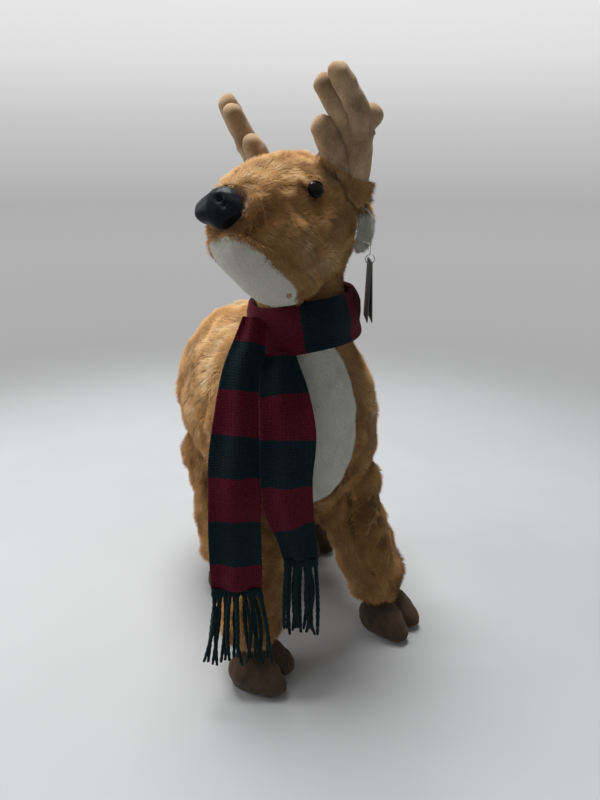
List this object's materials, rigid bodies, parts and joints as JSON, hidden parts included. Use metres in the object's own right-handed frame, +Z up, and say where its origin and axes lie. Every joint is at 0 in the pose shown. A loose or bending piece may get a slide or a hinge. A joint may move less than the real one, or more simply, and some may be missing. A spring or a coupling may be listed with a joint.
{
  "type": "plush deer",
  "caption": "Standing plush deer with suede antlers and cloven hooves, its head turned to one side, wearing a fringed striped scarf and a blank hang tag.",
  "frame": {"origin": "on the floor, under the middle of the toy's box", "axes": "+Z up, -Y the way the body faces, +X to the deer's left"},
  "size_m": [0.268, 0.3778, 0.5997],
  "materials": {
    "tan_plush": "long-pile tan plush",
    "white_plush": "white plush",
    "hoof_suede": "dark brown suede cloth",
    "antler_suede": "light brown suede cloth",
    "nose_cloth": "smooth blue-black cloth",
    "eye_plastic": "glossy black",
    "washer_plastic": "matte white",
    "crimson_knit": "ribbed knit in crimson and dark green stripes",
    "green_yarn": "dark green yarn",
    "blank_card": "blank folded card",
    "clear_plastic": "thin plastic filament"
  },
  "bodies": {
    "body": {"body": "tan_plush", "chest_bib": "white_plush", "scarf_wrap": "crimson_knit"},
    "head": {"head": "tan_plush", "chin_panel": "white_plush", "nose": "nose_cloth", "eye_left": "eye_plastic", "eye_right": "eye_plastic", "eye_washer_left": "washer_plastic", "eye_washer_right": "washer_plastic", "antler_left": "antler_suede", "antler_right": "antler_suede"},
    "ear_left": {"ear_left": "tan_plush", "ear_lining_left": "white_plush", "tag_fastener": "clear_plastic"},
    "ear_right": {"ear_right": "tan_plush", "ear_lining_right": "white_plush"},
    "hang_tag": {"hang_tag": "blank_card"},
    "leg_front_right": {"leg_front_right": "tan_plush", "hoof_front_right": "hoof_suede"},
    "leg_front_left": {"leg_front_left": "tan_plush", "hoof_front_left": "hoof_suede"},
    "leg_hind_right": {"leg_hind_right": "tan_plush", "hoof_hind_right": "hoof_suede"},
    "leg_hind_left": {"leg_hind_left": "tan_plush", "hoof_hind_left": "hoof_suede"},
    "tail": {"tail": "tan_plush"},
    "scarf_end_long": {"scarf_end_long": "crimson_knit", "fringe_long": "green_yarn"},
    "scarf_end_short": {"scarf_end_short": "crimson_knit", "fringe_short": "green_yarn"}
  },
  "joints": [
    {"name": "head_turn", "type": "hinge", "parent": "body", "child": "head", "pos_m": [0.0106, -0.0768, 0.3727], "axis": [-0.1384, 0.0593, 0.9886], "range_deg": [-15, 15], "stiffness_Nm_per_rad": 2},
    {"name": "ear_left_swing", "type": "hinge", "parent": "head", "child": "ear_left", "pos_m": [0.0597, -0.0925, 0.4965], "axis": [-0.993, 0.0909, 0.0759], "range_deg": [0, 20], "stiffness_Nm_per_rad": 0.05},
    {"name": "ear_right_swing", "type": "hinge", "parent": "head", "child": "ear_right", "pos_m": [0.0277, -0.0268, 0.4849], "axis": [0.561, 0.7946, -0.232], "range_deg": [0, 20], "stiffness_Nm_per_rad": 0.05},
    {"name": "tag_swing", "type": "hinge", "parent": "ear_left", "child": "hang_tag", "pos_m": [0.0628, -0.1123, 0.4315], "axis": [-0.891, 0.454, 0], "range_deg": [-20, 20]},
    {"name": "leg_front_right_swing", "type": "hinge", "parent": "body", "child": "leg_front_right", "pos_m": [-0.0452, -0.0716, 0.178], "axis": [1, 0, 0], "range_deg": [-2, 6], "stiffness_Nm_per_rad": 25},
    {"name": "leg_front_left_swing", "type": "hinge", "parent": "body", "child": "leg_front_left", "pos_m": [0.0628, -0.0736, 0.178], "axis": [1, 0, 0], "range_deg": [-6, 6], "stiffness_Nm_per_rad": 25},
    {"name": "leg_hind_right_swing", "type": "hinge", "parent": "body", "child": "leg_hind_right", "pos_m": [-0.0372, 0.0824, 0.176], "axis": [1, 0, 0], "range_deg": [-6, 6], "stiffness_Nm_per_rad": 25},
    {"name": "leg_hind_left_swing", "type": "hinge", "parent": "body", "child": "leg_hind_left", "pos_m": [0.0828, 0.0844, 0.176], "axis": [1, 0, 0], "range_deg": [-6, 6], "stiffness_Nm_per_rad": 25},
    {"name": "tail_swing", "type": "hinge", "parent": "body", "child": "tail", "pos_m": [0.0248, 0.1604, 0.307], "axis": [1, 0, 0], "range_deg": [0, 20], "stiffness_Nm_per_rad": 0.1},
    {"name": "scarf_long_swing", "type": "hinge", "parent": "body", "child": "scarf_end_long", "pos_m": [-0.0515, -0.0919, 0.386], "axis": [-0.891, 0.454, 0], "range_deg": [0, 15]},
    {"name": "scarf_short_swing", "type": "hinge", "parent": "body", "child": "scarf_end_short", "pos_m": [-0.036, -0.1166, 0.347], "axis": [-0.891, 0.454, 0], "range_deg": [0, 15]}
  ]
}
